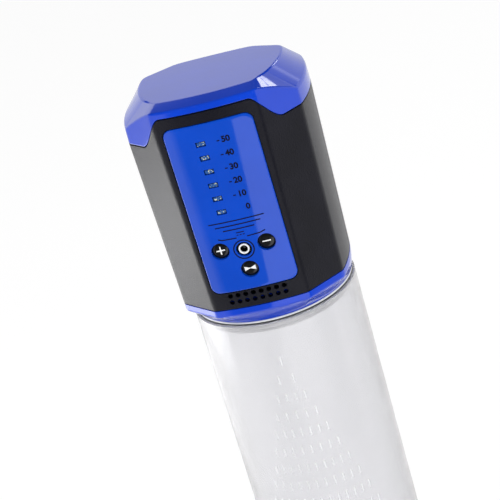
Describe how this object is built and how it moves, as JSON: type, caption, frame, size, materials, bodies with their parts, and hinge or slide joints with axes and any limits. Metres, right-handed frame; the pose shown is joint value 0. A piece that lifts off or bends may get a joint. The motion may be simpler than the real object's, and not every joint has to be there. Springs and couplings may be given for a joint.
{
  "type": "electric vacuum pump",
  "caption": "Battery vacuum pump: bevelled blue and black head with lamp scale, push buttons and charging socket, plugged on a clear open cylinder with a soft end seal.",
  "frame": {"origin": "middle of the flat foot of the end seal, on the cylinder's axis", "axes": "+Z along the cylinder's axis, up to the pump head; the display faces -Y; +X is to the display's right as a viewer faces it"},
  "size_m": [0.083, 0.083, 0.3046],
  "materials": {
    "clear_tube": "clear moulded acrylic, polished",
    "end_seal": "matte silicone",
    "top_cap": "high gloss blue",
    "base_ring": "high gloss blue",
    "casing": "finely textured black",
    "display_panel": "high gloss blue with printed marks",
    "scale_window": "pale translucent",
    "button": "gloss black",
    "switch": "moulded",
    "jack": "gloss black",
    "contact": "bright plated",
    "board": "solder resist",
    "inner_plastic": "moulded, unpainted",
    "screw": "zinc plated",
    "cell_wrap": "shrink wrap",
    "motor_metal": "bright steel",
    "natural_plastic": "natural, unpainted",
    "works_plastic": "moulded, unpainted",
    "seal": "matte",
    "spring_steel": "drawn wire",
    "hose": "clear soft tube",
    "o_ring": "clear silicone"
  },
  "bodies": {
    "cylinder": {"clear_tube": "clear_tube", "end_seal": "end_seal"},
    "pump_head": {"top_cap": "top_cap", "base_ring": "base_ring", "front_shell": "casing", "rear_shell": "casing", "display_panel": "display_panel", "scale_window_1": "scale_window", "scale_window_2": "scale_window", "scale_window_3": "scale_window", "scale_window_4": "scale_window", "scale_window_5": "scale_window", "scale_window_6": "scale_window", "plus_switch": "switch", "minus_switch": "switch", "valve_switch": "switch", "dc_jack": "jack", "jack_sleeve": "contact", "jack_pin": "contact", "main_board": "board", "inner_frame": "inner_plastic", "battery_cradle": "inner_plastic", "motor_cradle": "inner_plastic", "case_screw_1": "screw", "case_screw_2": "screw", "case_screw_3": "screw", "case_screw_4": "screw", "board_screw_1": "screw", "board_screw_2": "screw", "board_screw_3": "screw", "board_screw_4": "screw", "battery_cell": "cell_wrap", "pump_motor": "motor_metal", "base_plate": "natural_plastic", "inlet_filter": "natural_plastic", "pump_housing": "works_plastic", "pump_top": "works_plastic", "release_valve": "works_plastic", "pressure_sensor": "works_plastic", "tee_connector": "works_plastic", "pump_diaphragm": "seal", "spigot_o_ring": "o_ring", "rim_seal": "seal", "pump_hose": "hose", "sensor_hose": "hose", "valve_hose": "hose", "plunger_spring": "spring_steel"},
    "plus_button": {"plus_button": "button"},
    "minus_button": {"minus_button": "button"},
    "valve_button": {"valve_button": "button"},
    "rotor": {"motor_shaft": "motor_metal", "drive_eccentric": "natural_plastic"},
    "valve_plunger": {"valve_plunger": "motor_metal"}
  },
  "joints": [
    {"name": "head_lift", "type": "slide", "parent": "cylinder", "child": "pump_head", "axis": [0, 0, 1], "range_m": [0, 0.04]},
    {"name": "plus_press", "type": "slide", "parent": "pump_head", "child": "plus_button", "axis": [0, 1, 0], "range_m": [0, 0.0008], "stiffness_N_per_m": 1500, "springref_m": -0.0004},
    {"name": "minus_press", "type": "slide", "parent": "pump_head", "child": "minus_button", "axis": [0, 1, 0], "range_m": [0, 0.0008], "stiffness_N_per_m": 1500, "springref_m": -0.0004},
    {"name": "valve_press", "type": "slide", "parent": "pump_head", "child": "valve_button", "axis": [0, 1, 0], "range_m": [0, 0.0008], "stiffness_N_per_m": 1500, "springref_m": -0.0004},
    {"name": "rotor_spin", "type": "hinge", "parent": "pump_head", "child": "rotor", "pos_m": [0, 0.002, 0.2579], "axis": [0, 0, 1], "continuous": true},
    {"name": "plunger_pull", "type": "slide", "parent": "pump_head", "child": "valve_plunger", "axis": [0, 0, -1], "range_m": [0, 0.0015], "stiffness_N_per_m": 400, "springref_m": -0.001, "deforming": ["plunger_spring"]}
  ]
}
